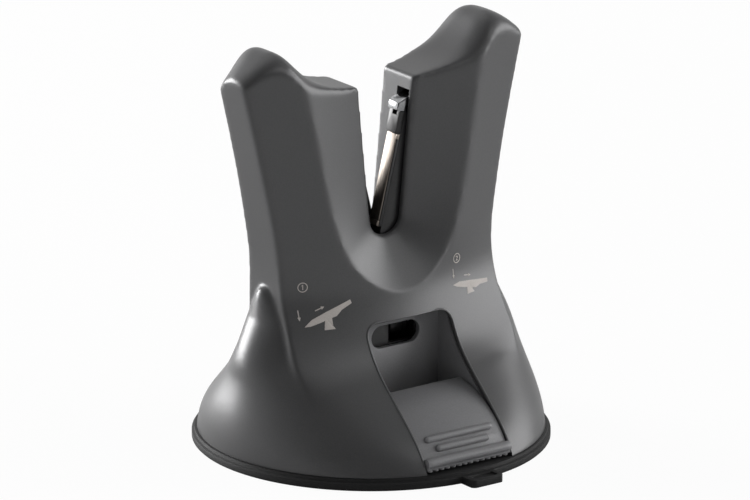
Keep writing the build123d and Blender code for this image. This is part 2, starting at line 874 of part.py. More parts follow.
def cam_sector():
    """Face of the cam: its height under the pin falls evenly as the lever lifts."""
    first = -cam_margin
    last = lever_swing + cam_margin
    points = []
    for i in range(cam_samples):
        turned = radians(first + (last - first) * i / (cam_samples - 1))
        facing = -pi / 2 - turned
        height = cam_height - cam_rate * turned
        ahead = lever_pivot_ahead + height * cos(facing) - cam_rate * sin(facing)
        level = lever_pivot_level + height * sin(facing) + cam_rate * cos(facing)
        points.append((ahead, level))
    middle = (lever_pivot_ahead, lever_pivot_level)
    return outline(Spline(*points), Polyline(points[-1], middle, points[0]))


def lever():
    """Curved flap with a rolled lip, finger bars, two webs and their cams."""
    back = (lever_back_ahead, lever_back_level)
    middle = (lever_mid_ahead, lever_mid_level)
    front = (lever_front_ahead, lever_front_level)
    under_back = (lever_back_ahead + lever_wall / 2, lever_back_level - lever_wall)
    under_drop = lever_wall * lever_under_share
    under_middle = (lever_mid_ahead - under_drop, lever_mid_level - under_drop)
    under_front = (lever_front_ahead - lever_wall, lever_front_level - lever_wall / 4)
    flap = outline(
        ThreePointArc(back, middle, front),
        Line(front, under_front),
        ThreePointArc(under_front, under_middle, under_back),
        Line(under_back, back),
    )
    half = lever_half
    body = extrude(sideways(half) * flap, 2 * half)
    body = body + bar(-lip_ahead, lip_level, -half, half, lip_radius)
    apron = block(
        (-half, -lip_ahead - lip_radius / 2, lip_level - lip_skirt),
        (half, lip_radius - lip_ahead, lip_level),
    )
    body = body + apron
    for inset, level, reach in (
        (bar_first_inset, bar_first_level, bar_half_long),
        (bar_second_inset, bar_second_level, bar_half_short),
    ):
        body = body + bar(inset - foot_radius, level, -reach, reach, bar_radius)
    web = make_face(
        Polyline(
            (lever_pivot_ahead, lever_pivot_level + cam_hub_radius),
            (lever_back_ahead + lever_wall / 2, lever_back_level - lever_wall / 2),
            (lever_mid_ahead - lever_wall, lever_mid_level - lever_wall / 2),
            (lever_pivot_ahead + cam_rate, lever_pivot_level - cam_height / 2),
            (lever_pivot_ahead, lever_pivot_level + cam_hub_radius),
        )
    )
    for side in (-1, 1):
        near = cam_outer if side > 0 else -cam_inner
        width = cam_outer - cam_inner
        body = body + extrude(sideways(near) * web, width)
        body = body + extrude(sideways(near) * cam_sector(), width)
        body = body + bar(-lever_pivot_ahead, lever_pivot_level, near - width, near, cam_hub_radius)
    bore = lever_pin_radius + running_gap
    return body - bar(-lever_pivot_ahead, lever_pivot_level, -half - overrun, half + overrun, bore)


def write(name, piece):
    """Write one piece as its own file."""
    export_step(piece, "parts/" + name + ".step")


os.makedirs("parts", exist_ok=True)
write("housing", housing())
write("lever_well", well())
write("arm_cradle", arm_cradle())
write("suction_cup", suction_cup())
write("base_plate", base_plate())
write("stem_bush", stem_bush())
write("cam_plate", cam_plate())
write("pull_stem", pull_stem())
write("lift_yoke", lift_yoke())
write("stem_nut", stem_nut())
write("lever_pin", lever_pin())
write("lever_washers", lever_washers())
write("lever", lever())

screw_tip = rib_low + screw_bite
screw_low = cradle_high - cradle_tab_thickness - screw_head_height
reaches = (-cradle_screw_reach, cradle_screw_reach)
write("cradle_screws", Compound(children=[screw(x, 0, screw_low, screw_tip) for x in reaches]))
screw_columns = (-base_screw_across, base_screw_across)
screw_rows = (-base_screw_ahead, base_screw_ahead)
corners = [(x, y) for x in screw_columns for y in screw_rows]
low = base_level - screw_head_height
write("base_screws", Compound(children=[screw(x, y, low, base_top + screw_bite) for x, y in corners]))
high = base_top + seat_gap + well_wall
write("well_screws", Compound(children=[screw(x, y, high, base_level) for x, y in well_screw_places()]))

for name, piece in (
    ("arm_carrier", arm_carrier()),
    ("sharpening_strip", sharpening_strip()),
    ("foot_clip", foot_clip()),
    ("strip_holder", strip_holder()),
    ("guide_cap", guide_cap()),
    ("hub_bush", hub_bush()),
    ("pin_spacer", pin_spacer()),
    ("pivot_pin", pivot_pin()),
    ("arm_spring", arm_spring()),
    ("stop_pad", stop_pad()),
):
    write(name + "_right", piece)
    write(name + "_left", half_turn(piece))

clips = [pin_clip(-1), pin_clip(1)]
clips += [half_turn(clip) for clip in clips]
write("pin_clips", Compound(children=clips))
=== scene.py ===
import json
from math import atan2, cos, hypot, pi, radians, sin

import bmesh
import bpy
import numpy as np
from mathutils import Matrix, Vector
from mathutils.bvhtree import BVHTree

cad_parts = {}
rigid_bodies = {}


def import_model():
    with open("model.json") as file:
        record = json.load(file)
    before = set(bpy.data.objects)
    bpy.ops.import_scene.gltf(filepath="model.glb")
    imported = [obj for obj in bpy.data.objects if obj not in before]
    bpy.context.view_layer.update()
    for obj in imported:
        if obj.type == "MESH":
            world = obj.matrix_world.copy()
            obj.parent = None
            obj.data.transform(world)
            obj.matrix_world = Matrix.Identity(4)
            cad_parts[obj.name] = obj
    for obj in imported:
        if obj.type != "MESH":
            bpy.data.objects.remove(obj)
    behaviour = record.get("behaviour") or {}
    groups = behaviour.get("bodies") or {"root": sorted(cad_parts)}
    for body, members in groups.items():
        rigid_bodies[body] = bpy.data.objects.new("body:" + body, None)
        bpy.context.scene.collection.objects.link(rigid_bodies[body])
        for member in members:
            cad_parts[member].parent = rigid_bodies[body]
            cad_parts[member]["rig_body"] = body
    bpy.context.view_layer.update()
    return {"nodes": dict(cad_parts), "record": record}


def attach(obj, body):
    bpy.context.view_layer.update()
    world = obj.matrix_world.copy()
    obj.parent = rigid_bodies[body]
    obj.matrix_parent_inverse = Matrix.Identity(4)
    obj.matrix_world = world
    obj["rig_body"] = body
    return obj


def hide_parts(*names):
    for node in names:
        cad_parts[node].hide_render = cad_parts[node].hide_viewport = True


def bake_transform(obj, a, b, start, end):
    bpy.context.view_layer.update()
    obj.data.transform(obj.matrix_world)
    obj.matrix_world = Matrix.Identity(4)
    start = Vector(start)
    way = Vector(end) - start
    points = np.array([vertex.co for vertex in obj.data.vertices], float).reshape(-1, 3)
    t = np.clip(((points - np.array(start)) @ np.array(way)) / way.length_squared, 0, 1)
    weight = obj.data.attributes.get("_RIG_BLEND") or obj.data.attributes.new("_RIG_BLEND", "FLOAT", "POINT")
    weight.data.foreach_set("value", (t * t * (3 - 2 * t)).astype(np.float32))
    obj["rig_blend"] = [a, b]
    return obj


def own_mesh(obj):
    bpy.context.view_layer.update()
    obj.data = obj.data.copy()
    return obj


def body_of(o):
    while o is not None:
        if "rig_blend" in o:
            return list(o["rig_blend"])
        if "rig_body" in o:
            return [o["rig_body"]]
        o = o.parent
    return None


mm = 0.001

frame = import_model()
nodes = frame["nodes"]
print("frame loaded,", len(nodes), "pieces")


# --- helpers

def hexToLinear(code):
    channels = [int(code[i:i + 2], 16) / 255 for i in (1, 3, 5)]
    return [c / 12.92 if c <= 0.04045 else ((c + 0.055) / 1.055) ** 2.4 for c in channels] + [1]


def addNode(tree, kind, links=None, **settings):
    node = tree.nodes.new(kind)
    for key, value in settings.items():
        if key in node.inputs:
            node.inputs[key].default_value = value
        else:
            setattr(node, key, value)
    for socket, source in (links or {}).items():
        tree.links.new(source, node.inputs[socket])
    return node


def putInScene(name, data):
    obj = bpy.data.objects.new(name, data)
    bpy.context.scene.collection.objects.link(obj)
    return obj


def meshPiece(name, points, faces, unit=mm):
    mesh = bpy.data.meshes.new(name)
    mesh.from_pydata([tuple(c * unit for c in p) for p in points], [], faces)
    bm = bmesh.new()
    bm.from_mesh(mesh)
    bmesh.ops.remove_doubles(bm, verts=bm.verts, dist=0.001 * mm)
    bmesh.ops.recalc_face_normals(bm, faces=bm.faces)
    bm.to_mesh(mesh)
    bm.free()
    return putInScene(name, mesh)


def addModifier(obj, kind, **settings):
    mod = obj.modifiers.new(kind.title(), kind)
    for key, value in settings.items():
        setattr(mod, key, value)
    return mod


def applyModifiers(obj):
    graph = bpy.context.evaluated_depsgraph_get()
    baked = bpy.data.meshes.new_from_object(obj.evaluated_get(graph))
    obj.modifiers.clear()
    obj.data = baked
    return obj


def cutWith(obj, *cutters):
    for cutter in cutters:
        addModifier(obj, "BOOLEAN", object=cutter, operation="DIFFERENCE", solver="EXACT")
    applyModifiers(obj)
    for cutter in cutters:
        bpy.data.objects.remove(cutter)
    return obj


def joined(name, *parts):
    bm = bmesh.new()
    for part in parts:
        bm.from_mesh(part.data)
    mesh = bpy.data.meshes.new(name)
    bm.to_mesh(mesh)
    bm.free()
    for part in parts:
        bpy.data.objects.remove(part)
    return putInScene(name, mesh)


def boxPiece(name, low, high):
    corners = [(x, y, z) for x in (low[0], high[0]) for y in (low[1], high[1]) for z in (low[2], high[2])]
    faces = [(0, 1, 3, 2), (4, 6, 7, 5), (0, 4, 5, 1), (2, 3, 7, 6), (0, 2, 6, 4), (1, 5, 7, 3)]
    return meshPiece(name, corners, faces)


def tubePiece(name, rings, closed=False):
    count = len(rings[0])
    points = [p for ring in rings for p in ring]
    faces = []
    last = len(rings) if closed else len(rings) - 1
    for i in range(last):
        a, b = i * count, ((i + 1) % len(rings)) * count
        for j in range(count):
            k = (j + 1) % count
            faces.append((a + j, a + k, b + k, b + j))
    if not closed:
        faces.append(tuple(range(count)))
        faces.append(tuple(reversed(range((len(rings) - 1) * count, len(rings) * count))))
    return meshPiece(name, points, faces)


def smoothShade(obj, angle=35):
    obj.data.shade_smooth()
    obj.data.set_sharp_from_angle(angle=radians(angle))
    return obj


# --- camera: long lens, from the front left and a little above

camera = {
    "distance": 3000, "azimuth": -36.05, "elevation": 17.25, "lens": 426.3, "sensor": 36,
    "height": 65.49, "sideways": 1.3, "near": 0.1, "far": 50,
}

turn, lift = radians(camera["azimuth"]), radians(camera["elevation"])
toCamera = Vector((sin(turn) * cos(lift), -cos(turn) * cos(lift), sin(lift)))
rightHand = Vector((cos(turn), sin(turn), 0))
target = Vector((0, 0, camera["height"] * mm)) + rightHand * camera["sideways"] * mm
cameraData = bpy.data.cameras.new("camera")
cameraData.lens = camera["lens"]
cameraData.sensor_width = camera["sensor"]
cameraData.clip_start = camera["near"]
cameraData.clip_end = camera["far"]
cameraObject = putInScene("camera", cameraData)
cameraObject.location = target + toCamera * camera["distance"] * mm
cameraObject.rotation_euler = (-toCamera).to_track_quat("-Z", "Y").to_euler()
bpy.context.scene.camera = cameraObject
print("camera placed")


# --- materials

def newMaterial(name):
    material = bpy.data.materials.new(name)
    material.use_nodes = True
    tree = material.node_tree
    return material, tree, tree.nodes["Principled BSDF"]


def grainBump(tree, shader, size, depth, strength):  # size and depth in millimetres
    place = addNode(tree, "ShaderNodeTexCoord")
    noise = addNode(tree, "ShaderNodeTexNoise", {"Vector": place.outputs["Object"]},
                    Scale=1 / (size * mm), Detail=3)
    bump = addNode(tree, "ShaderNodeBump", {"Height": noise.outputs["Fac"]},
                   Strength=strength, Distance=depth * mm)
    tree.links.new(bump.outputs["Normal"], shader.inputs["Normal"])


def mottledColour(tree, shader, dark, light, size):  # a faint change of tone over a size in millimetres
    place = addNode(tree, "ShaderNodeTexCoord")
    noise = addNode(tree, "ShaderNodeTexNoise", {"Vector": place.outputs["Object"]},
                    Scale=1 / (size * mm), Detail=2)
    ramp = addNode(tree, "ShaderNodeValToRGB", {"Fac": noise.outputs["Fac"]})
    ramp.color_ramp.elements[0].position = 0.35
    ramp.color_ramp.elements[0].color = hexToLinear(dark)
    ramp.color_ramp.elements[1].position = 0.65
    ramp.color_ramp.elements[1].color = hexToLinear(light)
    tree.links.new(ramp.outputs["Color"], shader.inputs["Base Color"])


def gunmetalAbs():
    # ABS with a fine satin metallic lacquer: soft broad highlights, no visible grain from a step away
    material, tree, shader = newMaterial("gunmetal_lacquered_abs")
    mottledColour(tree, shader, "#515152", "#565657", 0.35)
    shader.inputs["Metallic"].default_value = 0.35
    shader.inputs["Roughness"].default_value = 0.36
    shader.inputs["IOR"].default_value = 1.5
    grainBump(tree, shader, 0.25, 0.004, 0.25)
    return material


def blackAbs():
    # moulded ABS, spark eroded tool: matt black with a fine grain that catches grazing light
    material, tree, shader = newMaterial("black_moulded_abs")
    mottledColour(tree, shader, "#1c1c1d", "#222223", 0.5)
    shader.inputs["Roughness"].default_value = 0.42
    shader.inputs["IOR"].default_value = 1.53
    grainBump(tree, shader, 0.3, 0.01, 0.3)
    return material


def blackRubber():
    # pressed soft PVC: near black, smooth, with a dull broad sheen
    material, tree, shader = newMaterial("black_pressed_rubber")
    mottledColour(tree, shader, "#0c0c0d", "#121213", 0.8)
    shader.inputs["Roughness"].default_value = 0.6
    shader.inputs["IOR"].default_value = 1.42
    grainBump(tree, shader, 0.5, 0.01, 0.2)
    return material


def acetal():
    # turned and moulded acetal: milky, slightly waxy
    material, tree, shader = newMaterial("natural_moulded_acetal")
    mottledColour(tree, shader, "#cfcbc0", "#d8d4ca", 1.5)
    shader.inputs["Roughness"].default_value = 0.4
    shader.inputs["IOR"].default_value = 1.48
    grainBump(tree, shader, 0.6, 0.01, 0.1)
    return material


def zincSteel():
    # drawn steel, zinc plated: pale grey metal with faint streaks
    material, tree, shader = newMaterial("zinc_plated_steel")
    mottledColour(tree, shader, "#9a9b9d", "#adaeb0", 0.6)
    shader.inputs["Metallic"].default_value = 1
    shader.inputs["Roughness"].default_value = 0.35
    grainBump(tree, shader, 0.4, 0.005, 0.2)
    return material


def groundSteel():
    # stainless strip ground lengthwise: fine lines along the blade, warm pale reflections
    material, tree, shader = newMaterial("ground_stainless_steel")
    place = addNode(tree, "ShaderNodeTexCoord")
    stretch = addNode(tree, "ShaderNodeMapping", {"Vector": place.outputs["Object"]}, Scale=(300, 3000, 60))
    lines = addNode(tree, "ShaderNodeTexNoise", {"Vector": stretch.outputs["Vector"]}, Scale=1, Detail=3)
    ramp = addNode(tree, "ShaderNodeValToRGB", {"Fac": lines.outputs["Fac"]})
    ramp.color_ramp.elements[0].position = 0.3
    ramp.color_ramp.elements[0].color = hexToLinear("#6a635d")
    ramp.color_ramp.elements[1].position = 0.7
    ramp.color_ramp.elements[1].color = hexToLinear("#958d85")
    bump = addNode(tree, "ShaderNodeBump", {"Height": lines.outputs["Fac"]}, Strength=0.3, Distance=0.01 * mm)
    tree.links.new(ramp.outputs["Color"], shader.inputs["Base Color"])
    tree.links.new(bump.outputs["Normal"], shader.inputs["Normal"])
    shader.inputs["Metallic"].default_value = 1
    shader.inputs["Roughness"].default_value = 0.42
    return material


def chromedZinc():
    # die cast zinc, bright chromed: clear reflections, a little waviness from the casting
    material, tree, shader = newMaterial("chromed_die_cast_zinc")
    mottledColour(tree, shader, "#97989a", "#a6a7a8", 1)
    shader.inputs["Metallic"].default_value = 1
    shader.inputs["Roughness"].default_value = 0.16
    grainBump(tree, shader, 1.2, 0.01, 0.15)
    return material


def printedInk():
    # pad printed ink: a warm pale grey film, matt beside the lacquer
    material, tree, shader = newMaterial("pad_printed_ink")
    mottledColour(tree, shader, "#b5afaa", "#beb8b3", 0.3)
    shader.inputs["Roughness"].default_value = 0.55
    grainBump(tree, shader, 0.2, 0.004, 0.2)
    return material


def paintedLightGreyAbs():
    # moulded ABS, satin tool: a grey with a soft sheen, lifted well above the body plastic's tone as painted light
    # that stands in for the light falling on the lever and its well
    material, tree, shader = newMaterial("grey_abs_with_painted_light")
    mottledColour(tree, shader, "#78787a", "#7e7e80", 0.5)
    shader.inputs["Roughness"].default_value = 0.4
    shader.inputs["IOR"].default_value = 1.53
    grainBump(tree, shader, 0.3, 0.008, 0.25)
    return material


finishes = {
    "body_plastic": gunmetalAbs(),
    "dark_plastic": blackAbs(),
    "guide_plastic": acetal(),
    "cup_rubber": blackRubber(),
    "steel": zincSteel(),
    "strip_steel": groundSteel(),
    "cap_metal": chromedZinc(),
}
ink = printedInk()
paintedLightGrey = paintedLightGreyAbs()


def finish(obj, slotName):
    obj.data.materials.clear()
    obj.data.materials.append(finishes[slotName])
    return obj


for part in frame["record"]["subparts"]:
    cadObject = nodes[part["node"]]
    for slotIndex in range(len(cadObject.material_slots)):
        cadObject.material_slots[slotIndex].material = finishes[part["material_slot"]]
print("materials made")


# --- housing: flared skirt, two leaning towers, a notch with funnels, and cones on both sides

body = {
    "footRadius": 59.2, "footLevel": 4.0, "skirtTop": 47.5, "height": 143.5, "wall": 2.6,
    "notchFloor": 73.0, "notchLowHalf": 6.6, "notchTopHalf": 13.6, "notchDepth": 8.6,
    "funnelFloor": 55.0, "funnelLowHalf": 27.0, "funnelRise": 12.0, "funnelDepth": 20.0,
    "coneTop": 60.8, "coneReach": 44.3, "sideShare": 0.588,
    "shoulder": 0.84, "shoulderLevel": 42, "shoulderOver": 16,  # how far the cones stay behind the front face
    "cornerDraw": 0.015, "cornerLevel": 58, "cornerOver": 12, "cornerFoot": 8,  # corners draw back under the cones
    "flatness": 0.85, "flatLevel": 62, "flatOver": 18,  # the broad faces go from an arc to two flats
    "fillLevel": 45, "fillOver": 15,  # below this level the hollows between cones and front fill up
    "softLevel": 37, "softOver": 14, "softFoot": 3, "softTurn": 0.13, "softRise": 3.5,  # and the creases fade
    "tableBlur": 3.0, "footFade": 6, "levelStep": 0.5, "turns": 720, "voxel": 0.75, "hollowVoxel": 2.0,
}

# as in the part: height share, front corner across and ahead, front, back corner across and ahead, back
skirtShares = [
    (0.00, 0.7071, 0.7071, 1.000, 0.7071, 0.7071, 1.000),
    (0.09, 0.703, 0.684, 0.962, 0.703, 0.672, 0.957),
    (0.21, 0.714, 0.635, 0.882, 0.712, 0.602, 0.880),
    (0.37, 0.736, 0.549, 0.743, 0.727, 0.448, 0.737),
    (0.51, 0.753, 0.463, 0.622, 0.736, 0.352, 0.632),
    (0.64, 0.768, 0.386, 0.519, 0.743, 0.268, 0.520),
    (0.78, 0.775, 0.313, 0.440, 0.751, 0.190, 0.426),
    (0.90, 0.769, 0.264, 0.397, 0.752, 0.172, 0.370),
    (1.00, 0.760, 0.230, 0.370, 0.751, 0.166, 0.343),
]
towerShares = [
    (0.08, 0.747, 0.177, 0.328, 0.746, 0.159, 0.324),
    (0.22, 0.750, 0.156, 0.321, 0.750, 0.156, 0.321),
    (0.36, 0.783, 0.153, 0.322, 0.783, 0.153, 0.322),
    (0.55, 0.845, 0.144, 0.319, 0.845, 0.144, 0.319),
    (0.76, 0.924, 0.138, 0.311, 0.924, 0.138, 0.311),
    (1.03, 1.035, 0.131, 0.300, 1.035, 0.131, 0.300),
]
# share of the cone's height, millimetres
coneSwell = [(0, 0), (0.088, 1.7), (0.218, 2.3), (0.454, 1.1), (0.634, 1.2), (0.81, 1.3), (0.95, 1.9),
             (0.985, 1.6), (1, 0)]
coneAhead = [(0, 0), (0.218, 0), (0.454, 1.2), (0.634, 1.0), (0.81, 0.3), (1, 0)]
# level, half width
funnelWall = [(67, 27), (77.5, 35.4), (95, 45.5), (113, 54.5), (130, 66), (148.5, 80)]
# across, below the top
crest = [(12.3, 16.8), (20, 15.4), (28, 12.7), (33, 9.3), (37.5, 5.0), (41, 1.5), (44, 0.1), (47, 0.6),
         (51.5, 3.2), (56.5, 6.9), (71.5, 19)]


def naturalSpline(knots, values, at):  # the smooth curve that a draughtsman's spline takes through the knots
    knots, values = np.array(knots, float), np.array(values, float)
    count = len(knots)
    gaps = np.diff(knots)
    matrix, right = np.eye(count), np.zeros(count)
    for i in range(1, count - 1):
        matrix[i, i - 1:i + 2] = gaps[i - 1], 2 * (gaps[i - 1] + gaps[i]), gaps[i]
        right[i] = 6 * ((values[i + 1] - values[i]) / gaps[i] - (values[i] - values[i - 1]) / gaps[i - 1])
    bend = np.linalg.solve(matrix, right)
    out = []
    for x in at:
        i = int(min(max(np.searchsorted(knots, x) - 1, 0), count - 2))
        g, a, b = gaps[i], knots[i + 1] - x, x - knots[i]
        out.append((bend[i] * a ** 3 + bend[i + 1] * b ** 3) / (6 * g)
                   + (values[i] / g - bend[i] * g / 6) * a + (values[i + 1] / g - bend[i + 1] * g / 6) * b)
    return np.array(out)


def blurred(values, step, width, around=False):  # a bell average, whose ends run on straight or round the ring
    reach = int(3 * width / step)
    weights = np.exp(-0.5 * (np.arange(-reach, reach + 1) * step / width) ** 2)
    if around:
        before, after = values[-reach:], values[:reach]
    else:
        before = values[0] + (values[1] - values[0]) * np.arange(-reach, 0)
        after = values[-1] + (values[-1] - values[-2]) * np.arange(1, reach + 1)
    return np.convolve(np.concatenate([before, values, after]), weights / weights.sum(), mode="valid")


def ease(share):  # 0 to 1 with a soft start and stop
    share = np.clip(share, 0, 1)
    return share * share * (3 - 2 * share)


def arcThrough(a, m, b, count):  # points on the circle from a by m to b
    ax, ay, mx, my, bx, by = *a, *m, *b
    d = 2 * (ax * (my - by) + mx * (by - ay) + bx * (ay - my))
    if abs(d) < 1e-6:
        return [(ax + (bx - ax) * i / count, ay + (by - ay) * i / count) for i in range(count)]
    a2, m2, b2 = ax * ax + ay * ay, mx * mx + my * my, bx * bx + by * by
    cx = (a2 * (my - by) + m2 * (by - ay) + b2 * (ay - my)) / d
    cy = (a2 * (bx - mx) + m2 * (ax - bx) + b2 * (mx - ax)) / d
    radius = hypot(ax - cx, ay - cy)
    start, middle, end = (atan2(y - cy, x - cx) for x, y in ((ax, ay), (mx, my), (bx, by)))
    way = 1 if (middle - start) % (2 * pi) < (end - start) % (2 * pi) else -1
    sweep = ((end - start) * way) % (2 * pi)
    angles = [start + way * sweep * i / count for i in range(count)]
    return [(cx + radius * cos(a), cy + radius * sin(a)) for a in angles]


def faceCurve(across, ahead, front, power):  # the broad face, through one point between middle and corner
    at, through = np.linspace(-1, 1, 91), 0.62
    rise = (front - ahead) * (1 - through ** 2) / (1 - through ** power)
    return [(across * s, ahead + rise * (1 - abs(s) ** power)) for s in at]


def reachOf(loop, angles):  # a closed outline as a distance from the axis at each angle
    x, y = np.array(loop).T
    return np.interp(angles, np.arctan2(y, x), np.hypot(x, y), period=2 * pi)


def trunkReach(cols, angles, power):  # the towers' own section: broad faces in front and behind, flat sides
    acrossF, aheadF, front, acrossB, aheadB, back = cols
    shares = [i / 40 for i in range(1, 40)]
    loop = [(x, -f) for x, f in faceCurve(acrossF, aheadF, front, power)]
    loop += [(acrossF + (acrossB - acrossF) * s, -aheadF + (aheadB + aheadF) * s) for s in shares]
    loop += [(-x, f) for x, f in faceCurve(acrossB, aheadB, back, power)]
    loop += [(-acrossB + (acrossB - acrossF) * s, aheadB - (aheadB + aheadF) * s) for s in shares]
    return reachOf(loop, angles)


def coneReach(level, cols, angles, way):  # a slanting cone: its tip on the tower's side, its foot the whole foot
    share = (level - body["footLevel"]) / (body["coneTop"] - body["footLevel"])
    if share > 1:
        return np.zeros(len(angles))
    share = max(share, 0)
    swell, ahead = (np.interp(share, *zip(*table)) for table in (coneSwell, coneAhead))
    radius = body["footRadius"] * (1 - share) + swell
    face = cols[2] - (cols[2] - cols[1]) * (body["coneReach"] * share / cols[0]) ** 2
    low = ease((body["shoulderLevel"] - level) / body["shoulderOver"])
    deep = min(radius, (body["shoulder"] + (1 - body["shoulder"]) * low) * (face - ahead))
    wide = np.sqrt(radius ** 2 - (body["sideShare"] * deep) ** 2) / np.sqrt(1 - body["sideShare"] ** 2)
    u, v = np.cos(angles) / wide, np.sin(angles) / deep
    cx, cy = way * body["coneReach"] * share / wide, -ahead / deep
    a, b, c = u * u + v * v, u * cx + v * cy, cx * cx + cy * cy - 1
    under = b * b - a * c
    return np.where(under > 0, np.maximum((b + np.sqrt(np.maximum(under, 0))) / a, 0), 0)


def hullReach(reach, angles):  # the same section with its hollows filled, as a membrane stretched round it
    points = sorted((r * cos(a), r * sin(a)) for r, a in zip(reach, angles))
    hull = []
    for chain in (points, points[::-1]):
        side = []
        for p in chain:
            while len(side) > 1 and ((side[-1][0] - side[-2][0]) * (p[1] - side[-2][1])
                                     - (side[-1][1] - side[-2][1]) * (p[0] - side[-2][0])) <= 0:
                side.pop()
            side.append(p)
        hull += side[:-1]
    loop = []
    for (ax, ay), (bx, by) in zip(hull, hull[1:] + hull[:1]):
        loop += [(ax + (bx - ax) * t, ay + (by - ay) * t) for t in np.linspace(0, 1, 12, endpoint=False)]
    return reachOf(loop, angles)


def bodyReaches():
    low, top, high = body["footLevel"], body["skirtTop"], body["height"]
    rows = [(low + r[0] * (top - low), *r[1:]) for r in skirtShares]
    rows += [(top + r[0] * (high - top), *r[1:]) for r in towerShares]
    heights = [r[0] for r in rows]
    levels = np.arange(low, high + 2.6, body["levelStep"])
    angles = np.linspace(-pi, pi, body["turns"], endpoint=False)
    columns = []
    for i in range(1, 7):
        exact = naturalSpline(heights, [r[i] * body["footRadius"] for r in rows], levels)
        fade = np.exp(-((levels - low) / body["footFade"]) ** 2)  # the foot keeps its exact circle
        columns.append(blurred(exact, body["levelStep"], body["tableBlur"]) * (1 - fade) + exact * fade)
    draw = ease((body["cornerLevel"] - levels) / body["cornerOver"]) * ease((levels - low) / body["cornerFoot"])
    for i in (0, 3):
        columns[i] = columns[i] * (1 - body["cornerDraw"] * draw)
    reaches = []
    for i, level in enumerate(levels):
        cols = [c[i] for c in columns]
        flats = ease((level - body["flatLevel"]) / body["flatOver"])
        trunk = trunkReach(cols, angles, 2 - body["flatness"] * flats)
        cones = np.maximum(coneReach(level, cols, angles, -1), coneReach(level, cols, angles, 1))
        row = np.maximum(trunk, cones)
        filled = ease((body["fillLevel"] - level) / body["fillOver"])
        reaches.append(row * (1 - filled) + hullReach(row, angles) * filled if filled else row)
    sharp = np.array(reaches)
    step = 2 * pi / body["turns"]
    soft = np.array([blurred(row, step, body["softTurn"], True) for row in sharp])
    soft = np.array([blurred(column, body["levelStep"], body["softRise"]) for column in soft.T]).T
    share = ease((body["softLevel"] - levels) / body["softOver"]) * ease((levels - low) / body["softFoot"])
    return levels, angles, sharp * (1 - share[:, None]) + soft * share[:, None]


bodyTable = bodyReaches()


def bodyForm(inset):
    levels, angles, reaches = bodyTable
    rings = [[(r * cos(a), r * sin(a), levels[0] - 3) for r, a in zip(reaches[0] - inset, angles)]]
    for level, row in zip(levels, reaches):
        rings.append([(r * cos(a), r * sin(a), level) for r, a in zip(row - inset, angles)])
    return tubePiece("body_form", rings)


def valleyOutline(floor, lowHalf, rise, wall, count=40):
    start = floor + rise
    top = body["height"] + 5
    bowl = arcThrough((-lowHalf, start), (0, floor), (lowHalf, start), count) + [(lowHalf, start)]
    heights = np.linspace(start, top, 21)[1:]
    right = list(zip(naturalSpline(*zip(*wall), heights), heights))
    left = [(-x, z) for x, z in reversed(right)]
    return bowl + right + left


def valleyCutter(grow):
    lowHalf, top = body["notchLowHalf"] + grow, body["height"] + 5
    floor = body["notchFloor"] - grow
    notchWall = [(floor + lowHalf, lowHalf), (top, body["notchTopHalf"] + grow)]
    narrow = valleyOutline(floor, lowHalf, lowHalf, notchWall)
    wide = valleyOutline(body["funnelFloor"], body["funnelLowHalf"], body["funnelRise"], funnelWall)
    near, far, past = body["notchDepth"] - grow, body["funnelDepth"] - grow, 7
    rings = []
    for y in np.linspace(-(far + past), far + past, 73):
        share = max((abs(y) - near) / (far - near), 0)
        rings.append([(ax + (bx - ax) * share, y, az + (bz - az) * share)
                      for (ax, az), (bx, bz) in zip(narrow, wide)])
    return tubePiece("valley", rings)


crown = {
    "faceArc": 193, "faceAhead": 17.8, "depth": 24, "above": 25,
    "edge": 4.2, "extra": 5.2, "extraFrom": 14, "extraOver": 20,  # the edge's radius grows away from the notch
    "frontEnd": -4, "backEnd": 2.5, "endFrom": 44, "endOver": 10,  # and differs at the outer end, front and back
}


def topCutter(drop):  # the crests: small edge rounding at the notch, nearly a full round at the peaks
    c, high = crown, body["height"] - drop
    places = np.linspace(crest[0][0], crest[-1][0], 80)
    right = list(zip(places, high - naturalSpline(*zip(*crest), places)))
    roof = [(-x, z) for x, z in reversed(right)] + right
    rings = []
    for y in np.linspace(-c["depth"], c["depth"], 97):
        end = c["backEnd"] if y > 0 else c["frontEnd"]
        ring = []
        for x, z in roof:
            edge = c["faceAhead"] - (c["faceArc"] - np.sqrt(c["faceArc"] ** 2 - x * x)) - drop
            soft = c["edge"] + c["extra"] * ease((abs(x) - c["extraFrom"]) / c["extraOver"])
            soft += end * ease((abs(x) - c["endFrom"]) / c["endOver"])
            over = min(max(abs(y) - (edge - soft), 0), soft * 0.995)
            ring.append((x, y, z - soft + np.sqrt(soft ** 2 - over ** 2)))
        rings.append(ring + [(crest[-1][0], y, high + c["above"]), (-crest[-1][0], y, high + c["above"])])
    return tubePiece("tops", rings)


smoothing = {
    "flankSteps": 3, "ridgeSteps": 22, "factor": 0.5, "from": 62, "over": 8,  # ridges smooth from this level up
    "notchDepth": 12, "notchHalf": 10, "notchLean": 0.06, "notchOver": 6,  # but not the notch's own edges
}


